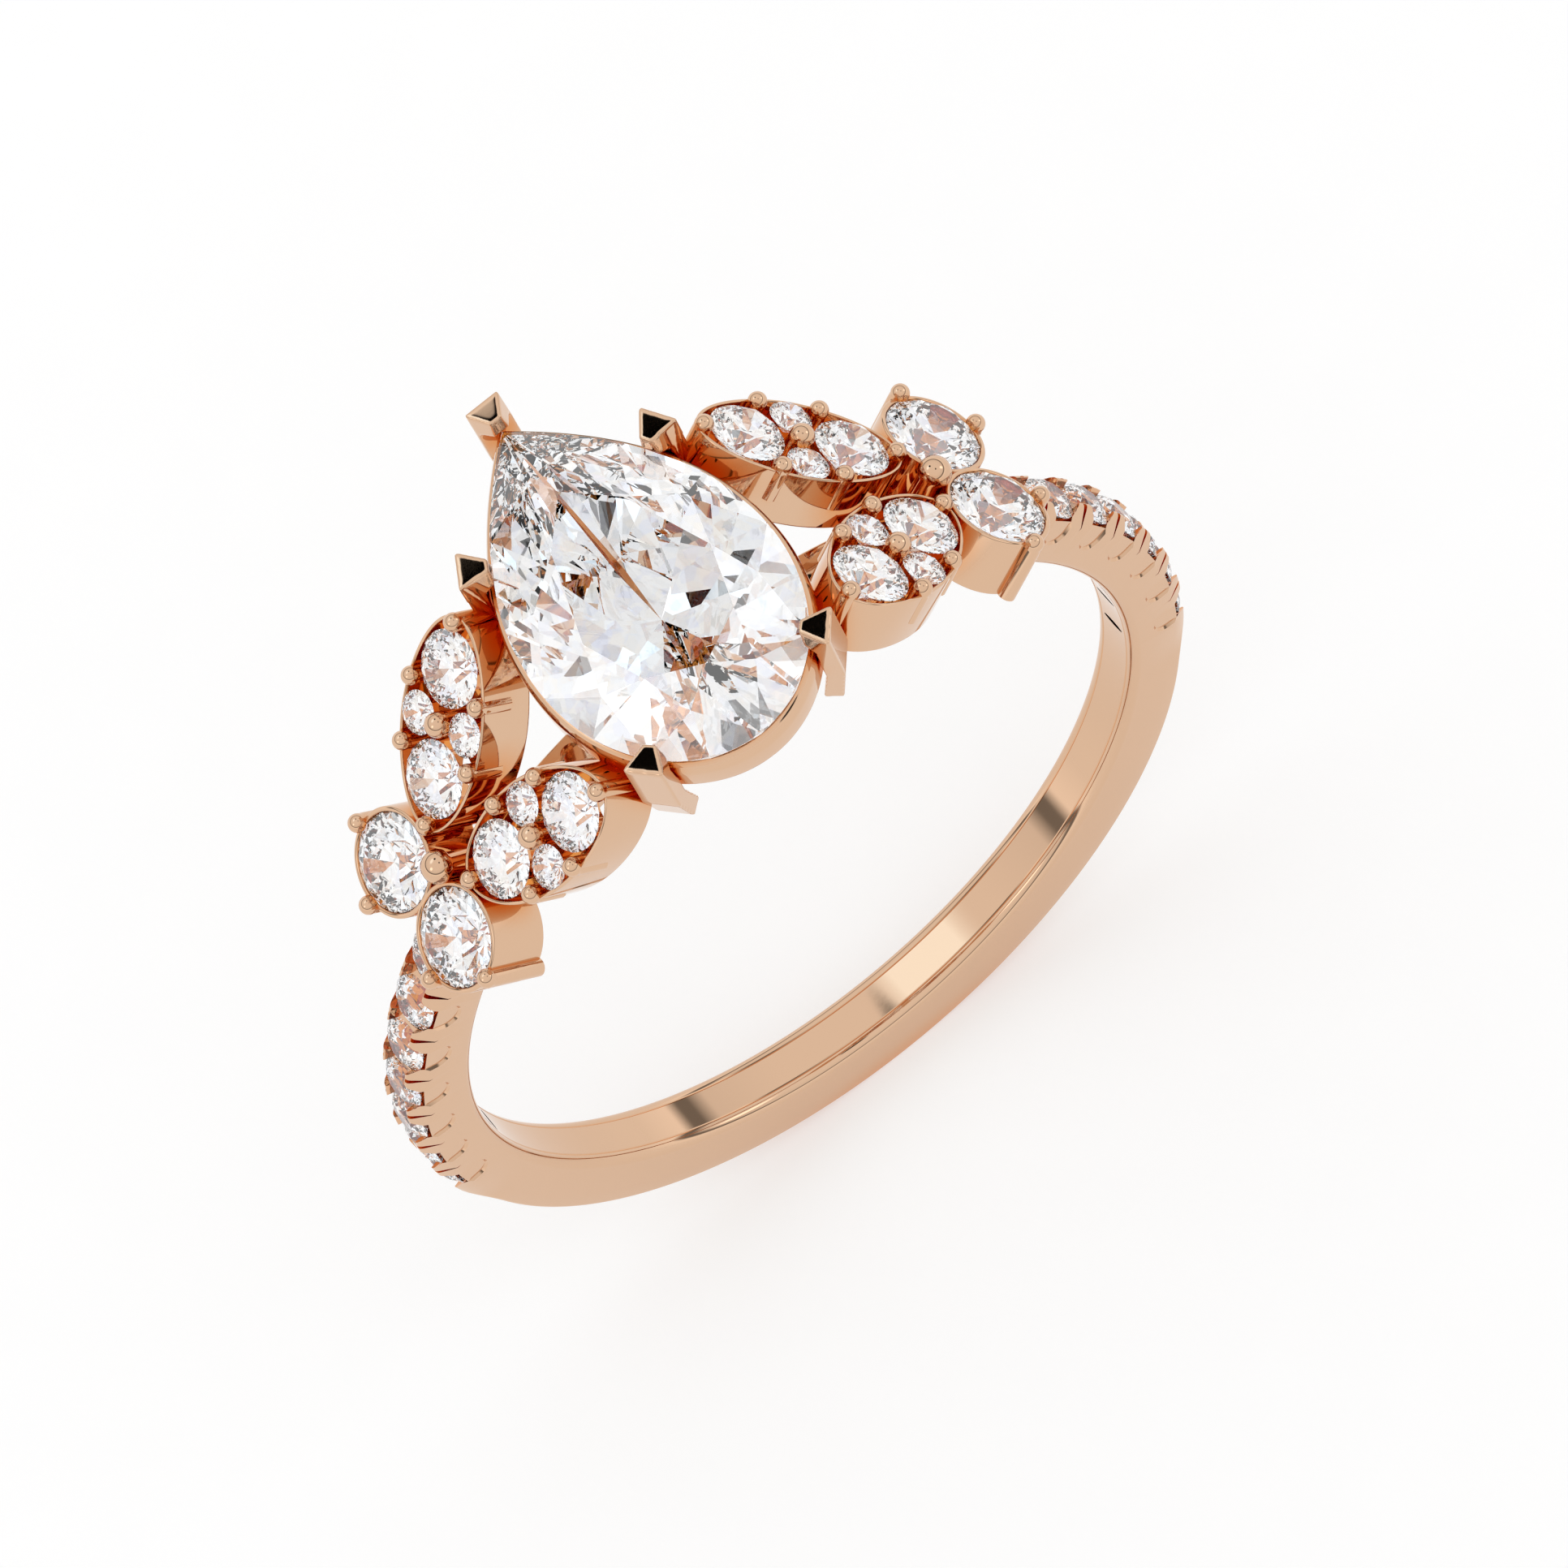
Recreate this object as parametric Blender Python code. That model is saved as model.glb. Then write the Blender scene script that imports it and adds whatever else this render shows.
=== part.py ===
"""Rose gold engagement ring: a claw-set pear diamond between leaf clusters and pave shoulders.

Metres, +Z up, finger axis along Y. The ring stands on its shank with the head on top, and the
origin is the middle of the small flat under the shank. Sizes below are in millimetres.
"""

import math

import bmesh
import bpy
from mathutils import Matrix, Vector

MM = 0.001

# Shank: a full round band, a little thicker under the finger than at the head.
FINGER_RADIUS = 8.25
BAND_WIDTH = 1.3
BAND_WALL = 1.15
BAND_DROP = 0.3
COMFORT_FLAT = 0.8
COMFORT_RISE = 0.2
COMFORT_KNEE = 0.06
COMFORT_CORNER = 0.12
EDGE_BREAK = 0.08
BAND_STEPS = 80

# Pave stones along each side of the shank, in a wall that stands a little above the band.
PAVE_COUNT = 7
PAVE_RADIUS = 0.6
PAVE_SPACE = 0.135
PAVE_FROM_COLLET = 0.08
PAVE_PROUD = 0.12
PAVE_SINK = 0.02
PAVE_METAL_UNDER = 0.1
SCALLOP_RADIUS = 0.3
AZURE_RADIUS = 0.2

# Centre stone: a pear brilliant, its belly at BELLY_Y and its point towards +Y.
PEAR_HALF_WIDTH = 2.73
PEAR_POINT = 5.18
PEAR_ROUND = 3.44
BELLY_Y = -0.28
PEAR_CROWN = 0.76
PEAR_GIRDLE = 0.06
PEAR_PAVILION = 2.35
PEAR_TABLE = 0.57
CULET_CLEARANCE = 0.62

# Gallery rail under the girdle, and the claws that stand against it.
RAIL_PROUD = 0.14
RAIL_HEIGHT = 0.78
RAIL_SEAT = 0.04
RAIL_INSIDE = 0.3
CLAW_WIDTH = 0.8
CLAW_DEPTH = 0.4
POINT_CLAW_DEPTH = 0.2
CLAW_RISE = 0.62
CLAW_EDGE = 0.08
CLAW_TIP = 0.05
CLAW_FOOT = 0.1
CLAW_DROP = 1.85
CLAW_HOLD = 0.08
UPPER_CLAW_Y = 2.5
LOWER_CLAW_Y = -2.8
BASE_WIDTH = 0.7
BASE_DEPTH = 0.5
BASE_DECK = 0.37
BASE_NOTCH = 0.25
BASE_INSET = 0.24

# Shoulder settings lie in one sloping plane on each side.
SHOULDER_TILT = math.radians(44.5)
COLLET_STONE = 1.0
COLLET_WALL = 0.12
COLLET_HEIGHT = 1.33
COLLET_TRIM = 0.05
COLLET_CULET_HOLE = 0.25
POST_REACH = 0.04
LEAF_HEIGHT = 1.25
LEAF_TURN = math.radians(23)
LEAF_ACROSS = 1.59
LEAF_FROM_BELLY = 1.73
LEAF_WALL = 0.08
LEAF_POCKET = 0.8
LEAF_AZURE = 0.38
LEAF_LARGE_STONE = 0.78
LEAF_SMALL_STONE = 0.42
LEAF_MIDDLE_GAP = 0.19
LEAF_SIDE_GAP = 0.03
LEAF_END_GAP = 0.03
LEAF_BEAD_INSET = 0.11
LEAF_BEAD_ALONG = 0.68
LEAF_BEAD_EDGE = 0.21
COLLET_FROM_LEAF = 0.065
SHOULDER_LIFT = 0.08
BEAD_RADIUS = 0.18
BEAD_RISE = 0.06
LARGE_BEAD_RADIUS = 0.27
LARGE_BEAD_RISE = 0.44
LARGE_BEAD_LIP = 0.04
BRIDGE_WIDTH = 0.44
BRIDGE_FROM_PAVE = 0.897
BRIDGE_FROM_HEAD = math.radians(14)
BRIDGE_UNDER_LEAF = 0.8

# The narrow gap that neighbouring pieces keep.
CLEARANCE = 0.03

# Proportions of a round brilliant, as shares of its radius, and how deep one sits in its setting.
STONE_TABLE = 0.56
STONE_CROWN = 0.3
STONE_GIRDLE = 0.03
STONE_PAVILION = 0.86
COLLET_STONE_SINK = 0.03
LEAF_STONE_SINK = 0.03

ROSE_GOLD = (0.85, 0.60, 0.45)
DIAMOND = (0.95, 0.96, 0.98)

# Places that follow from the sizes above.
BAND_OUTER = FINGER_RADIUS + BAND_WALL
BORE_Z = BAND_DROP + BAND_OUTER * math.cos(math.pi / BAND_STEPS)
BAND_TOP = BAND_OUTER - BAND_DROP
PAVE_OUTER = BAND_OUTER + PAVE_PROUD
GIRDLE_Z = BORE_Z + BAND_TOP + CULET_CLEARANCE + PEAR_PAVILION + PEAR_GIRDLE
COLLET_RADIUS = COLLET_STONE + COLLET_WALL
COLLET_ACROSS = COLLET_RADIUS - COLLET_TRIM
LEAF_LARGE_AT = BEAD_RADIUS + LEAF_MIDDLE_GAP + LEAF_LARGE_STONE
LEAF_SMALL_AT = BEAD_RADIUS + LEAF_SIDE_GAP + LEAF_SMALL_STONE
LEAF_BEAD_AT = LEAF_LARGE_AT + LEAF_LARGE_STONE + LEAF_END_GAP + BEAD_RADIUS
LEAF_HALF_LENGTH = LEAF_BEAD_AT + LEAF_BEAD_INSET
LEAF_HALF_WIDTH = LEAF_SMALL_AT + LEAF_SMALL_STONE + LEAF_SIDE_GAP + LEAF_WALL
SHOULDER_DEPTH = max(COLLET_HEIGHT, LEAF_HEIGHT)
SHOULDER_DISTANCE = BAND_OUTER - BAND_DROP * math.cos(SHOULDER_TILT) + SHOULDER_LIFT + SHOULDER_DEPTH
LEAF_X = PEAR_HALF_WIDTH + LEAF_FROM_BELLY
LEAF_ALONG = (LEAF_X - SHOULDER_DISTANCE * math.sin(SHOULDER_TILT)) / math.cos(SHOULDER_TILT)
COLLET_ALONG = LEAF_ALONG + LEAF_HALF_LENGTH * math.cos(LEAF_TURN) + COLLET_FROM_LEAF + COLLET_RADIUS
BEAD_TO_COLLET = COLLET_RADIUS + LARGE_BEAD_RADIUS + CLEARANCE
LARGE_BEAD_ALONG = COLLET_ALONG - math.sqrt(BEAD_TO_COLLET**2 - COLLET_ACROSS**2)
UNDER_RAIL = GIRDLE_Z - PEAR_GIRDLE - RAIL_SEAT - RAIL_HEIGHT - CLEARANCE
SIDES = (("left", -1), ("right", 1))
ENDS = (("front", -1), ("back", 1))


def band_radius(angle):
    """Outer radius of the shank about the bore, at an angle from straight up."""
    drop = BAND_DROP * math.cos(angle)
    return -drop + math.sqrt(BAND_OUTER**2 - (BAND_DROP * math.sin(angle)) ** 2)


def material(name, colour, metallic, roughness):
    made = bpy.data.materials.new(name)
    made.use_nodes = True
    shader = made.node_tree.nodes["Principled BSDF"]
    shader.inputs["Base Color"].default_value = (*colour, 1.0)
    shader.inputs["Metallic"].default_value = metallic
    shader.inputs["Roughness"].default_value = roughness
    return made


def make_object(name, mesh_data, stone=False, cutter=False):
    """Turn a bmesh in millimetres into an object in metres."""
    bmesh.ops.recalc_face_normals(mesh_data, faces=mesh_data.faces)
    bmesh.ops.scale(mesh_data, vec=(MM, MM, MM), verts=mesh_data.verts)
    mesh = bpy.data.meshes.new(name)
    mesh_data.to_mesh(mesh)
    mesh_data.free()
    obj = bpy.data.objects.new(name, mesh)
    bpy.context.scene.collection.objects.link(obj)
    if cutter:
        obj.hide_render = True
        obj.display_type = "WIRE"
        return obj
    if stone:
        mesh.materials.append(material(name, DIAMOND, 0.0, 0.0))
    else:
        mesh.materials.append(material(name, ROSE_GOLD, 1.0, 0.12))
        mesh.shade_smooth()
        mesh.set_sharp_from_angle(angle=math.radians(35))
    return obj


def combine(obj, other, operation):
    """Join or cut with the EXACT Boolean, as a live modifier."""
    modifier = obj.modifiers.new(operation.lower(), "BOOLEAN")
    modifier.operation = operation
    modifier.solver = "EXACT"
    modifier.object = other


def add_turned(mesh_data, profile, steps, place, start=0.0):
    """Spin a profile of (radius, height) about local Z; it starts and ends on the axis."""
    turn = Matrix.Rotation(start, 4, "Z")
    points = [mesh_data.verts.new(place @ turn @ Vector((r, 0, h))) for r, h in profile]
    edges = [mesh_data.edges.new(pair) for pair in zip(points, points[1:])]
    bmesh.ops.spin(
        mesh_data,
        geom=points + edges,
        cent=place.translation,
        axis=(place.to_3x3() @ Vector((0, 0, 1))).normalized(),
        angle=math.tau,
        steps=steps,
        use_merge=True,
    )
    bmesh.ops.remove_doubles(mesh_data, verts=mesh_data.verts, dist=1e-4)


def add_prism(mesh_data, outline, place, low, high):
    """Extrude a closed outline of (x, y) between two local heights."""
    base = [mesh_data.verts.new(place @ Vector((x, y, low))) for x, y in outline]
    face = mesh_data.faces.new(base)
    raised = bmesh.ops.extrude_face_region(mesh_data, geom=[face])["geom"]
    lift = place.to_3x3() @ Vector((0, 0, high - low))
    bmesh.ops.translate(mesh_data, vec=lift, verts=[v for v in raised if isinstance(v, bmesh.types.BMVert)])


def add_loft(mesh_data, rings, closed=False):
    """Skin a list of equal rings of points; closed joins the last ring to the first."""
    rows = [[mesh_data.verts.new(point) for point in ring] for ring in rings]
    pairs = list(zip(rows, rows[1:]))
    if closed:
        pairs.append((rows[-1], rows[0]))
    else:
        mesh_data.faces.new(rows[0])
        mesh_data.faces.new(rows[-1][::-1])
    for low, high in pairs:
        for i in range(len(low)):
            j = (i + 1) % len(low)
            mesh_data.faces.new((low[i], low[j], high[j], high[i]))


# ---- Stones -----------------------------------------------------------------------------------


def round_stone(name, radius, place, steps=12):
    """A round brilliant with its table, crown, girdle and pavilion; its girdle is at height 0."""
    stone = bmesh.new()
    profile = [
        (0, STONE_CROWN * radius),
        (STONE_TABLE * radius, STONE_CROWN * radius),
        (radius, STONE_GIRDLE * radius),
        (radius, -STONE_GIRDLE * radius),
        (0, -STONE_PAVILION * radius),
    ]
    add_turned(stone, profile, steps, place)
    return make_object(name, stone, stone=True)


def pear_outline(scale=1.0, z=0.0, steps=32):
    """The girdle's outline: a parabola-like bow up to the point and a half ellipse below the belly."""
    points = []
    for i in range(steps):
        angle = math.tau * i / steps
        if math.cos(angle) >= 0:
            along = math.cos(angle) ** 1.15
            x = PEAR_HALF_WIDTH * (1 - along**2.1) * math.copysign(1, math.sin(angle))
            y = PEAR_POINT * along
        else:
            x = PEAR_HALF_WIDTH * math.sin(angle)
            y = PEAR_ROUND * math.cos(angle)
        points.append(Vector((x * scale, y * scale + BELLY_Y, z)))
    return points


def scaled_by(offset):
    return (PEAR_HALF_WIDTH + offset) / PEAR_HALF_WIDTH


def pear_half_width_at(y):
    rise = y - BELLY_Y
    if rise >= 0:
        return PEAR_HALF_WIDTH * (1 - (rise / PEAR_POINT) ** 2.1)
    return PEAR_HALF_WIDTH * math.sqrt(1 - (rise / PEAR_ROUND) ** 2)


def centre_stone():
    stone = bmesh.new()
    table = GIRDLE_Z + PEAR_CROWN
    levels = ((PEAR_TABLE, table), (1.0, GIRDLE_Z), (1.0, GIRDLE_Z - PEAR_GIRDLE))
    add_loft(stone, [pear_outline(scale, z) for scale, z in levels])
    foot = min(stone.faces, key=lambda face: face.calc_center_median().z)
    culet = bmesh.ops.poke(stone, faces=[foot])["verts"][0]
    culet.co = (0, BELLY_Y, GIRDLE_Z - PEAR_GIRDLE - PEAR_PAVILION)
    return make_object("centre_stone", stone, stone=True)


# ---- Head -------------------------------------------------------------------------------------


def gallery_rail():
    """A pear-shaped collar whose top is rounded and whose inside follows the pavilion."""
    rail = bmesh.new()
    top = GIRDLE_Z - PEAR_GIRDLE - RAIL_SEAT
    foot = top - RAIL_HEIGHT
    section = (
        (-0.02, top),
        (RAIL_PROUD - 0.07, top - 0.01),
        (RAIL_PROUD, top - 0.12),
        (RAIL_PROUD, foot),
        (-RAIL_INSIDE, foot),
        (-RAIL_INSIDE, foot + 0.3 * RAIL_HEIGHT),
    )
    add_loft(rail, [pear_outline(scaled_by(offset), z) for offset, z in section], closed=True)
    return make_object("gallery_rail", rail)


def claw_frames():
    """Name and frame of each claw: local X points out of the stone, and the origin is on the girdle."""
    places = [("claw_point", 0.0, BELLY_Y + PEAR_POINT, Vector((0, 1, 0)))]
    step = 0.01
    for end, y in (("upper", UPPER_CLAW_Y), ("lower", LOWER_CLAW_Y)):
        slope = (pear_half_width_at(y + step) - pear_half_width_at(y - step)) / (2 * step)
        for side, sign in SIDES:
            out = Vector((sign, -slope, 0)).normalized()
            places.append((f"claw_{end}_{side}", sign * pear_half_width_at(y), y, out))
    for name, x, y, out in places:
        across = Vector((0, 0, 1)).cross(out)
        frame = Matrix((out, across, (0, 0, 1))).transposed().to_4x4()
        frame.translation = (x, y, GIRDLE_Z)
        yield name, frame


def claw_back(frame):
    """How far outside the girdle a claw's back stands, just clear of the rail."""
    out = frame.col[0].to_3d()
    from_belly = frame.translation - Vector((0, BELLY_Y, GIRDLE_Z))
    return RAIL_PROUD * from_belly.dot(out) / PEAR_HALF_WIDTH + CLEARANCE


def trim(mesh_data, point, normal):
    """Cut away what lies beyond a plane and close the cut."""
    geometry = mesh_data.verts[:] + mesh_data.edges[:] + mesh_data.faces[:]
    bmesh.ops.bisect_plane(
        mesh_data, geom=geometry, dist=1e-5, plane_co=point, plane_no=normal, clear_outer=True
    )
    bmesh.ops.holes_fill(mesh_data, edges=[edge for edge in mesh_data.edges if edge.is_boundary])


def claw_depth(name):
    return POINT_CLAW_DEPTH if name == "claw_point" else CLAW_DEPTH


def claws():
    """Broad claws that stand against the rail, with a tapered tip over the stone and a tapered foot."""
    half = CLAW_WIDTH / 2
    under_rail = UNDER_RAIL - GIRDLE_Z
    over_crown = PEAR_CROWN * CLAW_HOLD / ((1 - PEAR_TABLE) * PEAR_HALF_WIDTH) + 2 * CLEARANCE
    upright = Matrix(((1, 0, 0), (0, 0, 1), (0, 1, 0))).to_4x4()
    for name, frame in claw_frames():
        inner = claw_back(frame)
        outer = inner + claw_depth(name)
        outline = (
            (-CLAW_HOLD, over_crown),
            (-CLAW_HOLD, CLAW_RISE - CLAW_EDGE),
            (CLAW_EDGE - CLAW_HOLD, CLAW_RISE),
            (outer - CLAW_EDGE, CLAW_RISE),
            (outer, CLAW_RISE - CLAW_EDGE),
            (outer - CLAW_TIP, under_rail),
            (outer - CLAW_TIP - CLAW_EDGE, CLAW_FOOT - CLAW_DROP),
            (outer - CLAW_TIP - 2 * CLAW_EDGE, -CLAW_DROP),
            (outer - claw_depth(name) - 2 * CLAW_EDGE, -CLAW_DROP),
            (outer - claw_depth(name) - CLAW_EDGE, under_rail),
            (inner, under_rail),
            (inner, 0.0),
            (CLEARANCE, over_crown / 2),
        )
        claw = bmesh.new()
        add_prism(claw, outline, upright, -half, half)
        for side in (-1, 1):
            tip = Vector((-CLAW_HOLD, side * CLAW_TIP, CLAW_RISE))
            shoulder = Vector((outer - CLAW_EDGE, side * half, CLAW_RISE))
            cheek = Vector((CLEARANCE, side * half, 0.0))
            trim(claw, tip, side * (shoulder - tip).cross(cheek - tip))
            trim(claw, (0, side * half, CLAW_FOOT - CLAW_DROP), (0, side, -1))
        bmesh.ops.transform(claw, matrix=frame, verts=claw.verts)
        make_object(name, claw)


def head_base():
    """A saddle on the band with a strut fore and aft up to the gallery rail."""
    base = bmesh.new()
    saddle = BORE_Z + BAND_TOP + CLEARANCE
    deck = saddle + BASE_DECK
    fore = BELLY_Y - PEAR_ROUND
    aft = BELLY_Y + PEAR_POINT
    half = BAND_WIDTH / 2
    outline = (
        (-half, saddle),
        (half, saddle),
        (aft - RAIL_INSIDE, UNDER_RAIL),
        (aft - RAIL_INSIDE - BASE_DEPTH, UNDER_RAIL),
        (half - BASE_NOTCH, deck),
        (BELLY_Y - BASE_NOTCH, deck),
        (fore + BASE_INSET + BASE_DEPTH, UNDER_RAIL),
        (fore + BASE_INSET, UNDER_RAIL),
    )
    across = Matrix(((0, 0, 1), (1, 0, 0), (0, 1, 0))).to_4x4()
    add_prism(base, outline, across, -BASE_WIDTH / 2, BASE_WIDTH / 2)
    return make_object("head_base", base)


# ---- Shoulders --------------------------------------------------------------------------------


def shoulder_frame(sign, along, across, turn=0.0):
    """A frame in the sloping plane: local Z is its normal, local X runs down it, away from the head."""
    normal = Vector((sign * math.sin(SHOULDER_TILT), 0, math.cos(SHOULDER_TILT)))
    down = Vector((sign * math.cos(SHOULDER_TILT), 0, -math.sin(SHOULDER_TILT)))
    side = Vector((0, 1, 0))
    local_x = down * math.cos(turn) + side * math.sin(turn)
    local_y = normal.cross(local_x)
    frame = Matrix((local_x, local_y, normal)).transposed().to_4x4()
    frame.translation = normal * SHOULDER_DISTANCE + down * along + side * across + Vector((0, 0, BORE_Z))
    return frame


def leaf_outline(inset=0.0, steps=32):
    """A soft marquise: an oval that comes to a slight point at each end."""
    points = []
    for i in range(steps):
        angle = math.tau * i / steps
        x = math.copysign(abs(math.cos(angle)) ** 1.08, math.cos(angle))
        y = math.copysign(abs(math.sin(angle)) ** 1.02, math.sin(angle))
        points.append((x * (LEAF_HALF_LENGTH - inset), y * (LEAF_HALF_WIDTH - inset)))
    return points


def bead_profile(radius, low, high):
    return [(0, high + 0.7 * radius), (0.7 * radius, high + 0.45 * radius), (radius, high), (radius, low), (0, low)]


def leaf_beads():
    """Local places and radii of the beads of one leaf."""
    beads = [(x, 0.0, BEAD_RADIUS) for x in (-LEAF_BEAD_AT, 0.0, LEAF_BEAD_AT)]
    y = LEAF_HALF_WIDTH - LEAF_BEAD_EDGE
    beads += [(sx * LEAF_BEAD_ALONG, sy * y, BEAD_RADIUS) for sx in (-1, 1) for sy in (-1, 1)]
    return beads


def leaf_stones():
    return (
        ("large_inner", -LEAF_LARGE_AT, 0.0, LEAF_LARGE_STONE),
        ("large_outer", LEAF_LARGE_AT, 0.0, LEAF_LARGE_STONE),
        ("small_front", 0.0, -LEAF_SMALL_AT, LEAF_SMALL_STONE),
        ("small_back", 0.0, LEAF_SMALL_AT, LEAF_SMALL_STONE),
    )


def head_clearance():
    """A cutter round the gallery rail and the claws, which the leaves stop short of."""
    cutter = bmesh.new()
    low = GIRDLE_Z - 2 * CLAW_DROP
    high = GIRDLE_Z + 2 * CLAW_RISE
    add_loft(cutter, [pear_outline(scaled_by(RAIL_PROUD + CLEARANCE), z) for z in (low, high)])
    keep = make_object("head_clearance", cutter, cutter=True)
    for name, frame in claw_frames():
        if name == "claw_point":
            continue
        outer = claw_back(frame) + CLAW_DEPTH + CLEARANCE
        half = CLAW_WIDTH / 2 + CLEARANCE
        corners = ((-half, -half), (outer, -half), (outer, half), (-half, half))
        box = bmesh.new()
        add_prism(box, corners, frame, -CLAW_DROP - CLEARANCE, 2.5 * CLAW_RISE)
        combine(keep, make_object(f"{name}_clearance", box, cutter=True), "UNION")
    return keep


def leaf_setting(name, place, keep_clear):
    tray = bmesh.new()
    add_prism(tray, leaf_outline(), place, -LEAF_HEIGHT, 0.0)
    setting = make_object(name, tray)
    pocket = bmesh.new()
    add_prism(pocket, leaf_outline(LEAF_WALL), place, -LEAF_POCKET, LEAF_HEIGHT)
    combine(setting, make_object(f"{name}_pocket", pocket, cutter=True), "DIFFERENCE")
    azures = bmesh.new()
    for _, x, y, _ in leaf_stones()[:2]:
        spot = place @ Matrix.Translation((x, y, 0))
        add_turned(azures, [(0, 0), (LEAF_AZURE, 0), (LEAF_AZURE, -2 * LEAF_HEIGHT), (0, -2 * LEAF_HEIGHT)], 10, spot)
    combine(setting, make_object(f"{name}_azures", azures, cutter=True), "DIFFERENCE")
    beads = bmesh.new()
    for x, y, radius in leaf_beads():
        spot = place @ Matrix.Translation((x, y, 0))
        add_turned(beads, bead_profile(radius, -LEAF_POCKET - CLEARANCE, BEAD_RISE), 8, spot, start=0.2)
    combine(setting, make_object(f"{name}_beads", beads, cutter=True), "UNION")
    combine(setting, keep_clear, "DIFFERENCE")


def leaves():
    keep_clear = head_clearance()
    for side, sign in SIDES:
        for end, way in ENDS:
            place = shoulder_frame(sign, LEAF_ALONG, way * LEAF_ACROSS, -way * LEAF_TURN)
            leaf_setting(f"leaf_{end}_{side}", place, keep_clear)
            for label, x, y, radius in leaf_stones():
                spot = place @ Matrix.Translation((x, y, -LEAF_STONE_SINK))
                round_stone(f"leaf_{end}_{side}_{label}", radius, spot)


def collet(name, place, way):
    """A round cup with two half-round posts, trimmed flat where its neighbour stands."""
    wall = bmesh.new()
    inside = COLLET_STONE + CLEARANCE / 2
    floor = -COLLET_STONE_SINK - STONE_PAVILION * COLLET_STONE - 2 * CLEARANCE
    seat = -COLLET_STONE_SINK - STONE_GIRDLE * COLLET_STONE - CLEARANCE
    profile = [
        (0, floor),
        (COLLET_CULET_HOLE, floor),
        (inside, seat),
        (inside, 0.0),
        (COLLET_RADIUS, 0.0),
        (COLLET_RADIUS, -COLLET_HEIGHT),
        (0, -COLLET_HEIGHT),
    ]
    add_turned(wall, profile, 24, place)
    cup = make_object(name, wall)
    posts = bmesh.new()
    reach = COLLET_RADIUS + POST_REACH
    for x, y in ((reach, 0.0), (0.0, reach)):
        outward = place.to_3x3() @ Vector((0, 1, 0))
        y = math.copysign(y, way * outward.y)
        spot = place @ Matrix.Translation((x, y, 0))
        add_turned(posts, bead_profile(BEAD_RADIUS, CLEARANCE - COLLET_HEIGHT, BEAD_RISE), 10, spot, start=0.1)
    combine(cup, make_object(f"{name}_posts", posts, cutter=True), "UNION")
    block = bmesh.new()
    bmesh.ops.create_cube(block, size=4 * COLLET_RADIUS)
    middle = place.translation.copy()
    middle.y = way * (CLEARANCE / 2 - 2 * COLLET_RADIUS)
    bmesh.ops.translate(block, vec=middle, verts=block.verts)
    combine(cup, make_object(f"{name}_trim", block, cutter=True), "DIFFERENCE")


def collets():
    for side, sign in SIDES:
        for end, way in ENDS:
            place = shoulder_frame(sign, COLLET_ALONG, way * COLLET_ACROSS)
            collet(f"collet_{end}_{side}", place, way)
            spot = place @ Matrix.Translation((0, 0, -COLLET_STONE_SINK))
            round_stone(f"collet_{end}_{side}_stone", COLLET_STONE, spot, steps=16)


def shoulder_beads():
    for side, sign in SIDES:
        bead = bmesh.new()
        place = shoulder_frame(sign, LARGE_BEAD_ALONG, 0.0)
        radius = LARGE_BEAD_RADIUS
        profile = [
            (0, LARGE_BEAD_RISE),
            (0.75 * radius, LARGE_BEAD_RISE - 0.3 * radius),
            (radius + LARGE_BEAD_LIP, LARGE_BEAD_RISE - 0.9 * radius),
            (radius, LARGE_BEAD_LIP),
            (radius, -SHOULDER_DEPTH),
            (0, -SHOULDER_DEPTH),
        ]
        add_turned(bead, profile, 12, place)
        make_object(f"shoulder_bead_{side}", bead)


def shoulder_bridges():
    """A rib on each side that carries the settings from the band up to the head."""
    for side, sign in SIDES:
        rib = bmesh.new()
        top = SHOULDER_DISTANCE - SHOULDER_DEPTH - CLEARANCE
        end_angle = pave_angles()[0] - BRIDGE_FROM_PAVE / PAVE_OUTER
        end_along = top * math.tan(end_angle - SHOULDER_TILT)
        outline = []
        steps = 8
        for i in range(steps + 1):
            angle = BRIDGE_FROM_HEAD + (end_angle - BRIDGE_FROM_HEAD) * i / steps
            radius = band_radius(angle) + CLEARANCE
            outline.append((sign * radius * math.sin(angle), BORE_Z + radius * math.cos(angle)))
        for along in (end_along, LEAF_ALONG + BRIDGE_UNDER_LEAF):
            x = top * math.sin(SHOULDER_TILT) + along * math.cos(SHOULDER_TILT)
            z = top * math.cos(SHOULDER_TILT) - along * math.sin(SHOULDER_TILT)
            outline.append((sign * x, BORE_Z + z))
        upright = Matrix(((1, 0, 0), (0, 0, 1), (0, 1, 0))).to_4x4()
        add_prism(rib, outline, upright, -BRIDGE_WIDTH / 2, BRIDGE_WIDTH / 2)
        make_object(f"shoulder_bridge_{side}", rib)


# ---- Shank ------------------------------------------------------------------------------------


def pave_angles():
    """Angles from straight up of the pave stones, beginning just outside the round collets."""
    first = SHOULDER_TILT + (COLLET_ALONG + COLLET_RADIUS + PAVE_FROM_COLLET + PAVE_RADIUS) / PAVE_OUTER
    pitch = (2 * PAVE_RADIUS + PAVE_SPACE) / PAVE_OUTER
    return [first + i * pitch for i in range(PAVE_COUNT)]


def pave_frame(sign, angle):
    """Local Z points out of the band, and the origin is where the girdle lies."""
    normal = Vector((sign * math.sin(angle), 0, math.cos(angle)))
    along = Vector((sign * math.cos(angle), 0, -math.sin(angle)))
    frame = Matrix((along, normal.cross(along), normal)).transposed().to_4x4()
    frame.translation = normal * (PAVE_OUTER - PAVE_SINK) + Vector((0, 0, BORE_Z))
    return frame


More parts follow.
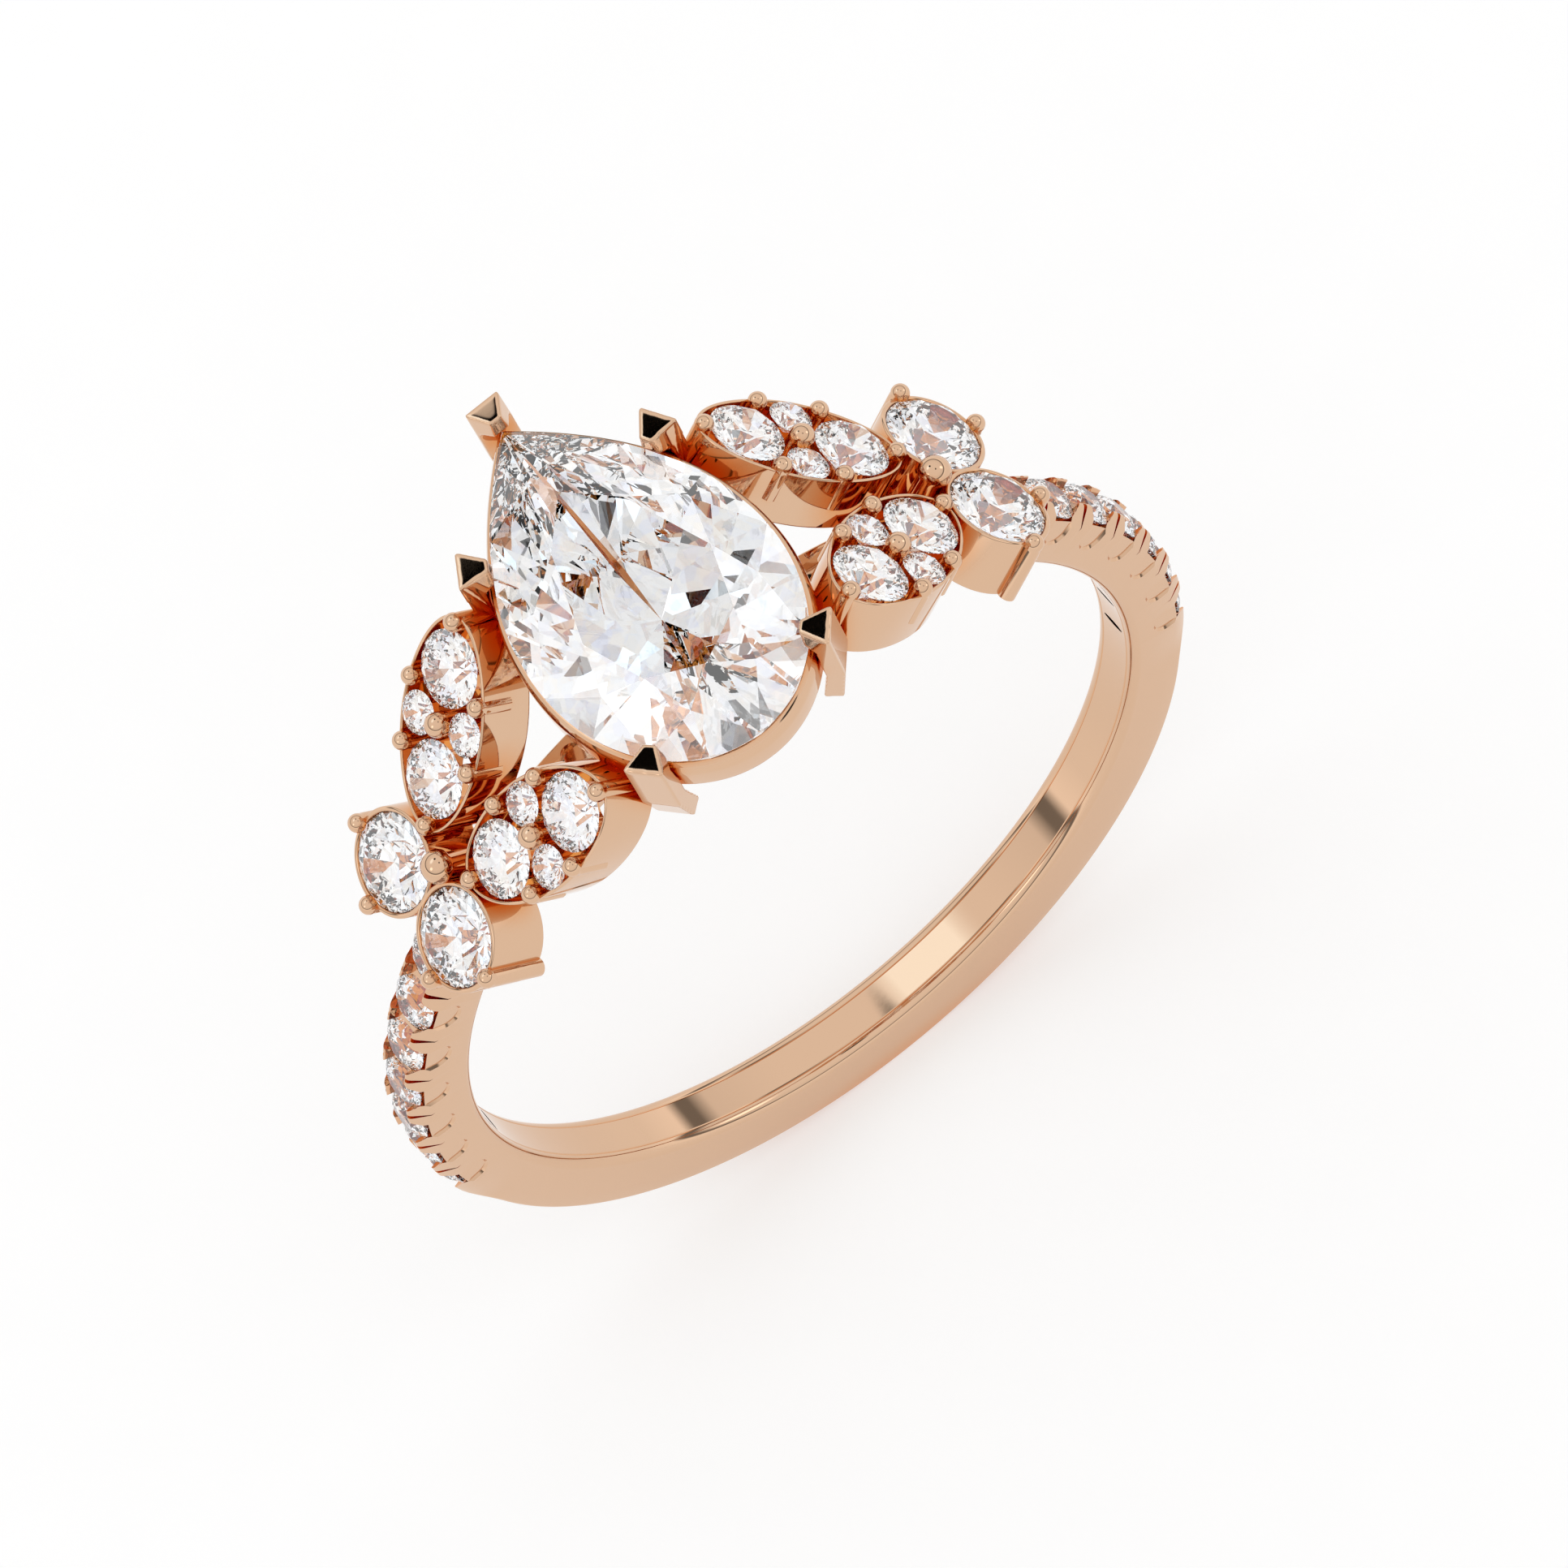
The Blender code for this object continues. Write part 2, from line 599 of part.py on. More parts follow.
def pave_wall(mesh_data, sign):
    """A curved block on the band, round about the bore, that the pave is cut into."""
    angles = pave_angles()
    pitch = angles[1] - angles[0]
    start = angles[0] - PAVE_RADIUS / PAVE_OUTER
    end = angles[-1] + pitch
    steps = 2 * PAVE_COUNT
    outline = []
    for radius, order in ((PAVE_OUTER, 1), (FINGER_RADIUS + BAND_WALL / 2, -1)):
        for i in range(steps + 1)[::order]:
            angle = start + (end - start) * i / steps
            outline.append((sign * radius * math.sin(angle), BORE_Z + radius * math.cos(angle)))
    half = (BAND_WIDTH - EDGE_BREAK) / 2
    upright = Matrix(((1, 0, 0), (0, 0, 1), (0, 1, 0))).to_4x4()
    add_prism(mesh_data, outline, upright, -half, half)


def shank():
    """A comfort-fit band with a scallop and a drilled seat for each pave stone."""
    half = BAND_WIDTH / 2
    band = bmesh.new()
    section = (
        (FINGER_RADIUS, -COMFORT_FLAT / 2, False),
        (FINGER_RADIUS, COMFORT_FLAT / 2, False),
        (FINGER_RADIUS + COMFORT_KNEE, half - COMFORT_CORNER, False),
        (FINGER_RADIUS + COMFORT_RISE, half, False),
        (-EDGE_BREAK, half, True),
        (0.0, half - EDGE_BREAK, True),
        (0.0, EDGE_BREAK - half, True),
        (-EDGE_BREAK, -half, True),
        (FINGER_RADIUS + COMFORT_RISE, -half, False),
        (FINGER_RADIUS + COMFORT_KNEE, COMFORT_CORNER - half, False),
    )
    rings = []
    for i in range(BAND_STEPS):
        angle = math.tau * (i + 0.5) / BAND_STEPS
        ring = []
        for radius, y, outer in section:
            reach = BAND_OUTER + radius if outer else radius
            drop = BAND_DROP if outer else 0.0
            ring.append(Vector((reach * math.sin(angle), y, BORE_Z - drop + reach * math.cos(angle))))
        rings.append(ring)
    add_loft(band, rings, closed=True)
    body = make_object("shank", band)
    walls = bmesh.new()
    scallops = bmesh.new()
    seats = bmesh.new()
    sideways = Matrix(((1, 0, 0), (0, 0, -1), (0, 1, 0))).to_4x4()
    for _, sign in SIDES:
        pave_wall(walls, sign)
        for angle in pave_angles():
            place = pave_frame(sign, angle)
            rod = [(0, BAND_WIDTH), (SCALLOP_RADIUS, BAND_WIDTH), (SCALLOP_RADIUS, -BAND_WIDTH), (0, -BAND_WIDTH)]
            add_turned(scallops, rod, 10, place @ sideways, start=0.1)
            wide = PAVE_RADIUS + CLEARANCE / 2
            seat = -STONE_GIRDLE * PAVE_RADIUS - CLEARANCE
            through = [
                (0, BAND_WALL),
                (wide, BAND_WALL),
                (wide, seat),
                (AZURE_RADIUS, -STONE_PAVILION * PAVE_RADIUS - PAVE_METAL_UNDER),
                (AZURE_RADIUS, -1.5 * BAND_WALL),
                (0, -1.5 * BAND_WALL),
            ]
            add_turned(seats, through, 12, place)
    combine(body, make_object("pave_walls", walls, cutter=True), "UNION")
    combine(body, make_object("scallop_cutters", scallops, cutter=True), "DIFFERENCE")
    combine(body, make_object("seat_cutters", seats, cutter=True), "DIFFERENCE")


def pave_stones():
    for side, sign in SIDES:
        for number, angle in enumerate(pave_angles(), 1):
            round_stone(f"pave_{side}_{number}", PAVE_RADIUS, pave_frame(sign, angle))


def main():
    for obj in list(bpy.data.objects):
        bpy.data.objects.remove(obj, do_unlink=True)
    shank()
    pave_stones()
    shoulder_bridges()
    collets()
    shoulder_beads()
    leaves()
    head_base()
    gallery_rail()
    claws()
    centre_stone()


main()
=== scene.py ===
import math

import bmesh
import bpy
from mathutils import Matrix, Vector


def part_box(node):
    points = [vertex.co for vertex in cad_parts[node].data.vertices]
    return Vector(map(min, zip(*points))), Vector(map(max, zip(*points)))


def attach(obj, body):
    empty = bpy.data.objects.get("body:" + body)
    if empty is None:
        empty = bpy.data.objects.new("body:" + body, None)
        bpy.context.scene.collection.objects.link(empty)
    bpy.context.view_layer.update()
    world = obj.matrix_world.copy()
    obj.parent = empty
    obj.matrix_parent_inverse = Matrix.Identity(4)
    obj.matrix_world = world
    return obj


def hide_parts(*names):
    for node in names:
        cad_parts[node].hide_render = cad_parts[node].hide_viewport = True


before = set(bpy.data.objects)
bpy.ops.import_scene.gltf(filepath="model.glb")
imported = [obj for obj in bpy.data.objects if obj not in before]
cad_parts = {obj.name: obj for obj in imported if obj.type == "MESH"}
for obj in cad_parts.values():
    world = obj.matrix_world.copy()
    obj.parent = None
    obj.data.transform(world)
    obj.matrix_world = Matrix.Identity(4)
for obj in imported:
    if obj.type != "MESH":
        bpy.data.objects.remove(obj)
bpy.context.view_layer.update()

# Everything is modelled in millimetres and brought to metres when a piece is finished.
mm = 0.001
weld = 1e-4
upright = Matrix(((1, 0, 0), (0, 0, 1), (0, 1, 0))).to_4x4()
sides = (("left", -1), ("right", 1))
ends = (("front", -1), ("back", 1))

shankLow, shankHigh = (Vector(corner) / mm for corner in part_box("shank"))
pearLow, pearHigh = (Vector(corner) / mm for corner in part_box("centre_stone"))


def bareMesh():
    return bmesh.new()


def geometryOf(shape):
    return shape.verts[:] + shape.edges[:] + shape.faces[:]


def turned(shape, profile, steps, place=Matrix(), start=0.0):
    # spin a profile of (radius, height) about local Z; returns the new verts
    before = set(shape.verts)
    turn = Matrix.Rotation(start, 4, "Z")
    points = [shape.verts.new(place @ turn @ Vector((r, 0, h))) for r, h in profile]
    lines = [shape.edges.new(pair) for pair in zip(points, points[1:])]
    axis = (place.to_3x3() @ Vector((0, 0, 1))).normalized()
    bmesh.ops.spin(
        shape, geom=points + lines, cent=place.translation, axis=axis,
        angle=math.tau, steps=steps, use_merge=True,
    )
    made = [vert for vert in shape.verts if vert not in before]
    bmesh.ops.remove_doubles(shape, verts=made, dist=weld)
    return [vert for vert in shape.verts if vert not in before]


def prism(shape, outline, place, low, high):
    base = [shape.verts.new(place @ Vector((x, y, low))) for x, y in outline]
    raised = bmesh.ops.extrude_face_region(shape, geom=[shape.faces.new(base)])["geom"]
    lift = place.to_3x3() @ Vector((0, 0, high - low))
    bmesh.ops.translate(shape, vec=lift, verts=[v for v in raised if isinstance(v, bmesh.types.BMVert)])


def sliceOff(shape, point, normal, dist=1e-5):
    # cut away what lies beyond a plane and close the cut
    bmesh.ops.bisect_plane(
        shape, geom=geometryOf(shape), dist=dist, plane_co=point, plane_no=normal, clear_outer=True,
    )
    bmesh.ops.holes_fill(shape, edges=[edge for edge in shape.edges if edge.is_boundary])


def rounded(corners, radius, steps=4):
    # a profile whose inner corners are turned into short arcs
    made = [corners[0]]
    for before, corner, after in zip(corners, corners[1:], corners[2:]):
        here = Vector(corner)
        back = Vector(before) - here
        ahead = Vector(after) - here
        reach = min(radius, 0.45 * back.length, 0.45 * ahead.length)
        first = here + back.normalized() * reach
        last = here + ahead.normalized() * reach
        for i in range(steps + 1):
            t = i / steps
            made.append(tuple(first * (1 - t) ** 2 + here * (2 * t * (1 - t)) + last * t**2))
    made.append(corners[-1])
    return made


def linked(shape, name):
    mesh = bpy.data.meshes.new(name)
    shape.to_mesh(mesh)
    shape.free()
    made = bpy.data.objects.new(name, mesh)
    bpy.context.scene.collection.objects.link(made)
    return made


def toObject(shape, name):
    bmesh.ops.recalc_face_normals(shape, faces=shape.faces)
    return linked(shape, name)


def absorb(shape, part):
    # add one loose mesh to another
    mesh = bpy.data.meshes.new("part")
    part.to_mesh(mesh)
    part.free()
    shape.from_mesh(mesh)
    bpy.data.meshes.remove(mesh)


def spunLoop(points, axis, steps):
    # a closed loop of points spun right round an axis through the origin
    shape = bareMesh()
    verts = [shape.verts.new(point) for point in points]
    lines = [shape.edges.new((verts[i], verts[(i + 1) % len(verts)])) for i in range(len(verts))]
    bmesh.ops.spin(
        shape, geom=verts + lines, cent=(0, 0, 0), axis=axis,
        angle=math.tau, steps=steps, use_merge=True,
    )
    bmesh.ops.remove_doubles(shape, verts=shape.verts, dist=weld)
    return shape


def carve(target, cutter, operation="DIFFERENCE"):
    change = target.modifiers.new("carve", "BOOLEAN")
    change.operation = operation
    change.solver = "EXACT"
    change.object = cutter
    settle(target)
    bpy.data.objects.remove(cutter, do_unlink=True)


def settle(target):
    # work the modifiers into the mesh
    bpy.context.view_layer.update()
    graph = bpy.context.evaluated_depsgraph_get()
    mesh = bpy.data.meshes.new_from_object(target.evaluated_get(graph))
    old = target.data
    target.modifiers.clear()
    target.data = mesh
    bpy.data.meshes.remove(old)


def finishMetal(piece, *nodes, sharp=38):
    piece.data.transform(Matrix.Scale(mm, 4))
    piece.data.materials.clear()
    piece.data.materials.append(roseGold)
    piece.data.shade_smooth()
    piece.data.set_sharp_from_angle(angle=math.radians(sharp))
    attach(piece, "root")
    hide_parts(*nodes)
    return piece


def finishStone(piece, node):
    piece.data.transform(Matrix.Scale(mm, 4))
    piece.data.materials.clear()
    piece.data.materials.append(diamond)
    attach(piece, "root")
    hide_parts(node)
    return piece


def linear(hexColour):
    # sRGB hex to the linear colour that the shader takes
    values = [int(hexColour[i:i + 2], 16) / 255 for i in (1, 3, 5)]
    return tuple(v / 12.92 if v <= 0.04045 else ((v + 0.055) / 1.055) ** 2.4 for v in values) + (1.0,)


def addNode(tree, kind, settings={}, **links):
    # settings are attributes or input values by name; links are input_name=socket
    node = tree.nodes.new(kind)
    for name, value in settings.items():
        if name in node.inputs:
            node.inputs[name].default_value = value
        else:
            setattr(node, name, value)
    for name, socket in links.items():
        tree.links.new(socket, node.inputs[name])
    return node


def newMaterial(name):
    made = bpy.data.materials.new(name)
    made.use_nodes = True
    return made, made.node_tree, made.node_tree.nodes["Principled BSDF"]


# Polished 18 carat rose gold, cast and buffed: a clean mirror, with the very fine haze that a buffing mop
# leaves on it.
# Its colour is painted redder in recesses, found by ambient occlusion: painted bounce light, where the
# light bounces from wall to wall.
goldLook = {
    "open": "#DBB697",
    # painted bounce light: the redder colour laid into recesses, in place of light bounced between walls
    "paintedBounce": "#DC8A3C",
    "paintedBounceReach": 1.1,
    "roughness": 0.05,
    "hazeMm": 0.9,
    "buffMm": 0.12,
    "buffHeight": 0.00025,
}


def makeRoseGold(look):
    made, tree, shader = newMaterial("polishedRoseGold")
    place = addNode(tree, "ShaderNodeTexCoord")
    # painted bounce light: ambient occlusion finds the recesses that are painted redder
    paintedBounceMask = addNode(
        tree, "ShaderNodeAmbientOcclusion", {"samples": 6, "Distance": look["paintedBounceReach"] * mm},
    )
    ramp = addNode(tree, "ShaderNodeValToRGB", Fac=paintedBounceMask.outputs["AO"])
    ramp.color_ramp.elements[0].position = 0.2
    ramp.color_ramp.elements[0].color = linear(look["paintedBounce"])
    ramp.color_ramp.elements[1].position = 0.8
    ramp.color_ramp.elements[1].color = linear(look["open"])
    tree.links.new(ramp.outputs["Color"], shader.inputs["Base Color"])
    haze = addNode(
        tree, "ShaderNodeTexNoise", {"Scale": 1 / (look["hazeMm"] * mm), "Detail": 2.0},
        Vector=place.outputs["Object"],
    )
    rough = addNode(
        tree, "ShaderNodeMapRange",
        {"To Min": 0.6 * look["roughness"], "To Max": 1.4 * look["roughness"]},
        Value=haze.outputs["Fac"],
    )
    tree.links.new(rough.outputs["Result"], shader.inputs["Roughness"])
    buff = addNode(
        tree, "ShaderNodeTexNoise", {"Scale": 1 / (look["buffMm"] * mm), "Detail": 2.0},
        Vector=place.outputs["Object"],
    )
    bump = addNode(
        tree, "ShaderNodeBump", {"Strength": 0.25, "Distance": look["buffHeight"] * mm},
        Height=buff.outputs["Fac"],
    )
    tree.links.new(bump.outputs["Normal"], shader.inputs["Normal"])
    shader.inputs["Metallic"].default_value = 1.0
    return made


# Colourless diamond, faceted and polished: clear, very high index. A few small patches carry a breath of
# blue or cream:
# painted flashes of coloured light, in place of the fire that a single index can't give.
diamondLook = {
    "flashes": (
        "#FFFFFF", "#FFFFFF", "#F6FAFF", "#FFFFFF", "#FFFBF4", "#FFFFFF", "#FFFFFF", "#EFF2FF",
    ),
    "fireMm": 0.3,
    "ior": 2.417,
}


def makeDiamond(look):
    made, tree, shader = newMaterial("polishedDiamond")
    place = addNode(tree, "ShaderNodeTexCoord")
    # painted fire: small patches of the stone's colour tinted blue or cream as painted flashes of light
    fire = addNode(
        tree, "ShaderNodeTexVoronoi", {"Scale": 1 / (look["fireMm"] * mm)}, Vector=place.outputs["Object"],
    )
    pick = addNode(tree, "ShaderNodeSeparateColor", Color=fire.outputs["Color"])
    ramp = addNode(tree, "ShaderNodeValToRGB", Fac=pick.outputs["Red"])
    ramp.color_ramp.interpolation = "CONSTANT"
    bands = ramp.color_ramp.elements
    bands[1].position = 1 / len(look["flashes"])
    for i, colour in enumerate(look["flashes"]):
        band = bands[i] if i < 2 else bands.new(i / len(look["flashes"]))
        band.color = linear(colour)
    tree.links.new(ramp.outputs["Color"], shader.inputs["Base Color"])
    shader.inputs["Roughness"].default_value = 0.0
    shader.inputs["IOR"].default_value = look["ior"]
    shader.inputs["Transmission Weight"].default_value = 1.0
    return made


roseGold = makeRoseGold(goldLook)
diamond = makeDiamond(diamondLook)
print("materials made")


bellyY = -0.28
pear = {
    "belly": bellyY,
    "halfWidth": pearHigh.x,
    "point": pearHigh.y - bellyY,
    "round": bellyY - pearLow.y,
    "taper": 2.1,
    "spread": 1.15,
    "lift": 0.02,
    "crown": 0.76,
    "girdle": 0.1,
    "pavilion": 2.35,
    "table": 0.57,
    "steps": 96,
}
girdleZ = pearHigh.z - pear["crown"]


def pearAt(angle):
    # a point of the pear's outline about its belly; angle 0 is the point, half a turn the round end
    if math.cos(angle) >= 0:
        along = math.cos(angle) ** pear["spread"]
        x = pear["halfWidth"] * (1 - along ** pear["taper"]) * math.copysign(1, math.sin(angle))
        return Vector((x, pear["point"] * along, 0))
    return Vector((pear["halfWidth"] * math.sin(angle), pear["round"] * math.cos(angle), 0))


def circleAt(radius):
    return lambda angle: Vector((radius * math.sin(angle), radius * math.cos(angle), 0))


facets = 16
halfFacetFoot = 0.3


def cutStone(outlineAt, size, crown, girdle, pavilion, table, steps):
    shape = bareMesh()
    turned(shape, [(0, crown), (1, crown), (1, -girdle - pavilion), (0, -girdle - pavilion)], steps)
    for vert in shape.verts:
        radius = math.hypot(vert.co.x, vert.co.y)
        flat = outlineAt(math.atan2(vert.co.x, vert.co.y)) * radius
        vert.co = (flat.x, flat.y, vert.co.z)
    step = math.tau / facets
    keys = [outlineAt(i * step) for i in range(facets)]
    lines = []
    for i in range(facets):
        ahead = outlineAt(i * step + 0.01)
        back = outlineAt(i * step - 0.01)
        lines.append((ahead - back).normalized())
    up = Vector((0, 0, 1))
    culet = Vector((0, 0, -girdle - pavilion))

    def plane(a, b, c):
        normal = (b - a).cross(c - a).normalized()
        return a, normal if normal.dot(a) > 0 else -normal

    def heightOn(face, spot):
        point, normal = face
        return point.z - (normal.x * (spot.x - point.x) + normal.y * (spot.y - point.y)) / normal.z

    crownMains = {}
    pavilionMains = {}
    for i in range(0, facets, 2):
        g = keys[i]
        crownMains[i] = plane(g, g + lines[i], g * table + up * crown)
        low = g - up * girdle
        pavilionMains[i] = plane(low, low + lines[i], culet)
    faces = list(crownMains.values()) + list(pavilionMains.values())
    for i in range(1, facets, 2):
        near = (i - 1, (i + 1) % facets)
        tip = keys[i] * (0.5 + 0.5 * table * math.cos(step))
        tip.z = min(heightOn(crownMains[j], tip) for j in near)
        edge = [keys[j] * table + up * crown for j in near]
        faces.append(plane(edge[0], edge[1], tip))
        foot = keys[i] * halfFacetFoot
        foot.z = max(heightOn(pavilionMains[j], foot) for j in near)
        for j in near:
            faces.append(plane(keys[i], keys[j], tip))
            faces.append(plane(keys[i] - up * girdle, keys[j] - up * girdle, foot))
    for point, normal in faces:
        sliceOff(shape, point, normal, dist=1e-4 * size)
    bmesh.ops.dissolve_limit(shape, angle_limit=0.002, verts=shape.verts, edges=shape.edges)
    return shape


def cutPear():
    shape = cutStone(
        pearAt, pear["halfWidth"], pear["crown"], pear["girdle"],
        pear["pavilion"], pear["table"], pear["steps"],
    )
    bmesh.ops.translate(shape, vec=(0, pear["belly"], girdleZ + pear["lift"]), verts=shape.verts)
    return finishStone(toObject(shape, "centreStone"), "centre_stone")


brilliant = {"crown": 0.31, "girdle": 0.04, "pavilion": 0.84, "table": 0.56, "steps": 48}
brilliantBlank = cutStone(
    circleAt(1.0), 1.0, brilliant["crown"], brilliant["girdle"], brilliant["pavilion"],
    brilliant["table"], brilliant["steps"],
)


def cutRound(name, radius, place, turn, node):
    shape = brilliantBlank.copy()
    bmesh.ops.transform(
        shape, matrix=place @ Matrix.Rotation(turn, 4, "Z") @ Matrix.Scale(radius, 4), verts=shape.verts,
    )
    return finishStone(toObject(shape, name), node)


cutPear()
print("centre stone cut")


shank = {
    "bore": 8.25,
    "wall": 1.15,
    "drop": 0.3,
    "halfWidth": 0.65,
    "flat": 0.4,
    "comfort": 0.2,
    "crease": 0.025,
    "edge": 0.06,
    "steps": 288,
}
bandOuter = shank["bore"] + shank["wall"]
boreZ = shankHigh.z - bandOuter * math.cos(math.pi / 80) + shank["drop"]

pave = {
    "count": 7,
    "radius": 0.6,
    "space": 0.135,
    "fromCollet": 0.08,
    "proud": 0.12,
    "sink": 0.02,
    "prong": 0.2,
    "channel": 0.3,
    "prongLean": 0.2,
    "scoopHalf": 0.27,
    "scoopDeep": 0.86,
    "scoopIn": 0.42,
    "splitHalf": 0.06,
    "splitDeep": 0.5,
    "splitIn": 0.28,
    "splitSkew": 0.02,
    "clear": 0.2,
    "seatGap": 0.012,
    "seatHole": 0.25,
    "seatFoot": 0.62,
    "turn": 0.4,
    "slitLong": 0.3,
    "slitWide": 0.08,
}
paveOuter = bandOuter + pave["proud"]

shoulder = {
    "tilt": math.radians(44.5),
    "lift": 0.08,
    "depth": 1.33,
    "leafFromBelly": 1.73,
}
shoulderBand = bandOuter - shank["drop"] * math.cos(shoulder["tilt"])
shoulderDistance = shoulderBand + shoulder["lift"] + shoulder["depth"]

leaf = {
    "halfLength": 2.25,
    "halfWidth": 1.16,
    "height": 1.25,
    "turn": math.radians(23),
    "across": 1.59,
    "wall": 0.08,
    "pocket": 0.62,
    "largeStone": 0.79,
    "largeAt": 1.15,
    "smallStone": 0.45,
    "smallAt": 0.67,
    "largeHole": 0.5,
    "smallHole": 0.26,
    "drillFrom": -0.3,
    "stoneSink": 0.0,
    "bead": 0.2,
    "beadRise": 0.25,
    "endBeadAt": 2.12,
    "sideBeadX": 0.68,
    "sideBeadY": 0.95,
    "middleBead": 0.25,
    "middleRise": 0.36,
}
leafX = pear["halfWidth"] + shoulder["leafFromBelly"]
leafAlong = (leafX - shoulderDistance * math.sin(shoulder["tilt"])) / math.cos(shoulder["tilt"])

cup = {
    "stone": 1.0,
    "wall": 0.12,
    "height": 1.33,
    "stoneSink": 0.0,
    "fromLeaf": 0.065,
    "trim": 0.05,
    "bead": 0.2,
    "beadRise": 0.26,
}
cupRadius = cup["stone"] + cup["wall"]
cupAcross = cupRadius - cup["trim"]
cupAlong = leafAlong + leaf["halfLength"] * math.cos(leaf["turn"]) + cup["fromLeaf"] + cupRadius

bigBead = {"halfAlong": 0.35, "halfAcross": 0.44, "middle": 0.12, "rise": 0.34, "radius": 0.27}
beadReach = cupRadius + bigBead["radius"] + 0.03
bigBeadAlong = cupAlong - math.sqrt(beadReach**2 - cupAcross**2)


def bandRadius(angle):
    drop = shank["drop"]
    return -drop * math.cos(angle) + math.sqrt(bandOuter**2 - (drop * math.sin(angle)) ** 2)


def paveAngles():
    first = shoulder["tilt"] + (cupAlong + cupRadius + pave["fromCollet"] + pave["radius"]) / paveOuter
    pitch = (2 * pave["radius"] + pave["space"]) / paveOuter
    return [first + i * pitch for i in range(pave["count"])], pitch


def pavePlace(sign, angle, sink=0.0):
    # local Z points out of the band, local X along it, the origin lies on the pave's own circle
    normal = Vector((sign * math.sin(angle), 0, math.cos(angle)))
    along = Vector((sign * math.cos(angle), 0, -math.sin(angle)))
    place = Matrix((along, normal.cross(along), normal)).transposed().to_4x4()
    place.translation = normal * (paveOuter - sink) + Vector((0, 0, boreZ))
    return place


def smoothStep(value):
    t = min(max(value, 0.0), 1.0)
    return t * t * (3 - 2 * t)


def bandSection():
    # half of the section as (radius, y): bore, fine crease, comfort curve, side wall, top
    bore = shank["bore"]
    half = shank["halfWidth"]
    flat = shank["flat"]
    crease = shank["crease"]
    curve = [math.pi / 2 * i / 8 for i in range(9)]
    section = [(bore, 0.0), (bore, flat - crease), (bore + crease, flat), (bore, flat + crease)]
    section += [
        (bore + shank["comfort"] * (1 - math.cos(a)), flat + crease + (half - flat - crease) * math.sin(a))
        for a in curve[1:]
    ]
    rise = bandOuter - shank["edge"]
    section += [(bandOuter - 0.3, half), (rise, half)]
    section += [
        (rise + shank["edge"] * math.sin(a), half - shank["edge"] * (1 - math.cos(a))) for a in curve[2::2]
    ]
    section += [(bandOuter, y) for y in (pave["channel"] + 0.06, pave["channel"], 0.0)]
    return section


def makeShank():
    right = bandSection()
    section = right + [(r, -y) for r, y in reversed(right)][1:-1]
    shape = spunLoop([(0, y, r) for r, y in section], (0, 1, 0), shank["steps"])
    angles, pitch = paveAngles()
    start = angles[0] - pave["radius"] / paveOuter
    end = angles[-1] + 0.5 * pitch
    inside = shank["bore"] + shank["comfort"]
    for vert in shape.verts:
        # thicken the band towards the bottom, and raise the wall that holds the pave
        radius = math.hypot(vert.co.x, vert.co.z)
        share = (radius - inside) / (bandOuter - inside)
        if share <= 0.001:
            continue
        angle = math.atan2(vert.co.x, vert.co.z)
        plain = bandRadius(angle)
        raised = smoothStep((abs(angle) - start) / 0.02) * smoothStep((end + pitch - abs(angle)) / pitch)
        top = paveOuter + (pave["prong"] if abs(vert.co.y) > pave["channel"] + 0.01 else 0.0)
        reach = inside + share * (plain + raised * max(0.0, top - plain) - inside)
        vert.co.x *= reach / radius
        vert.co.z *= reach / radius
        lean = pave["prongLean"] * raised * smoothStep((share - 0.72) / 0.28)
        if abs(vert.co.y) > pave["channel"] + 0.1:
            vert.co.y -= math.copysign(lean, vert.co.y)
    bmesh.ops.translate(shape, vec=(0, 0, boreZ), verts=shape.verts)
    band = toObject(shape, "shankBand")
    notches = bareMesh()
    seats = bareMesh()
    half = shank["halfWidth"]
    for _, sign in sides:
        for angle in angles:
            place = pavePlace(sign, angle)
            for edge in (-1, 1):
                scoop(notches, place, edge)
            wide = pave["radius"] + pave["seatGap"]
            foot = pave["seatFoot"]
            through = [(0, 0.7), (wide, 0.7), (wide, -0.06), (pave["seatHole"], -foot), (0, -foot)]
            turned(seats, through, 40, pavePlace(sign, angle, pave["sink"]))
            slit = bareMesh()
            turned(slit, [(0, -0.4), (1, -0.4), (1, -2.0), (0, -2.0)], 24)
            lens = Matrix.Diagonal((pave["slitWide"], pave["slitLong"], 1, 1))
            bmesh.ops.transform(slit, matrix=place @ lens, verts=slit.verts)
            absorb(seats, slit)
        for angle in [angles[0] - pitch / 2] + [a + pitch / 2 for a in angles[:-1]]:
            place = pavePlace(sign, angle)
            wide = pave["splitHalf"]
            high = pave["prong"]
            wedge = [
                (-wide, high + pave["clear"]), (-wide, high), (pave["splitSkew"], high - pave["splitDeep"]),
                (wide, high), (wide, high + pave["clear"]),
            ]
            for edge in (-1, 1):
                near, far = sorted((edge * (half - pave["splitIn"]), edge * 1.0))
                prism(notches, wedge, place @ upright, near, far)
    carve(band, toObject(notches, "notches"))
    carve(band, toObject(seats, "seats"))
    return finishMetal(band, "shank")


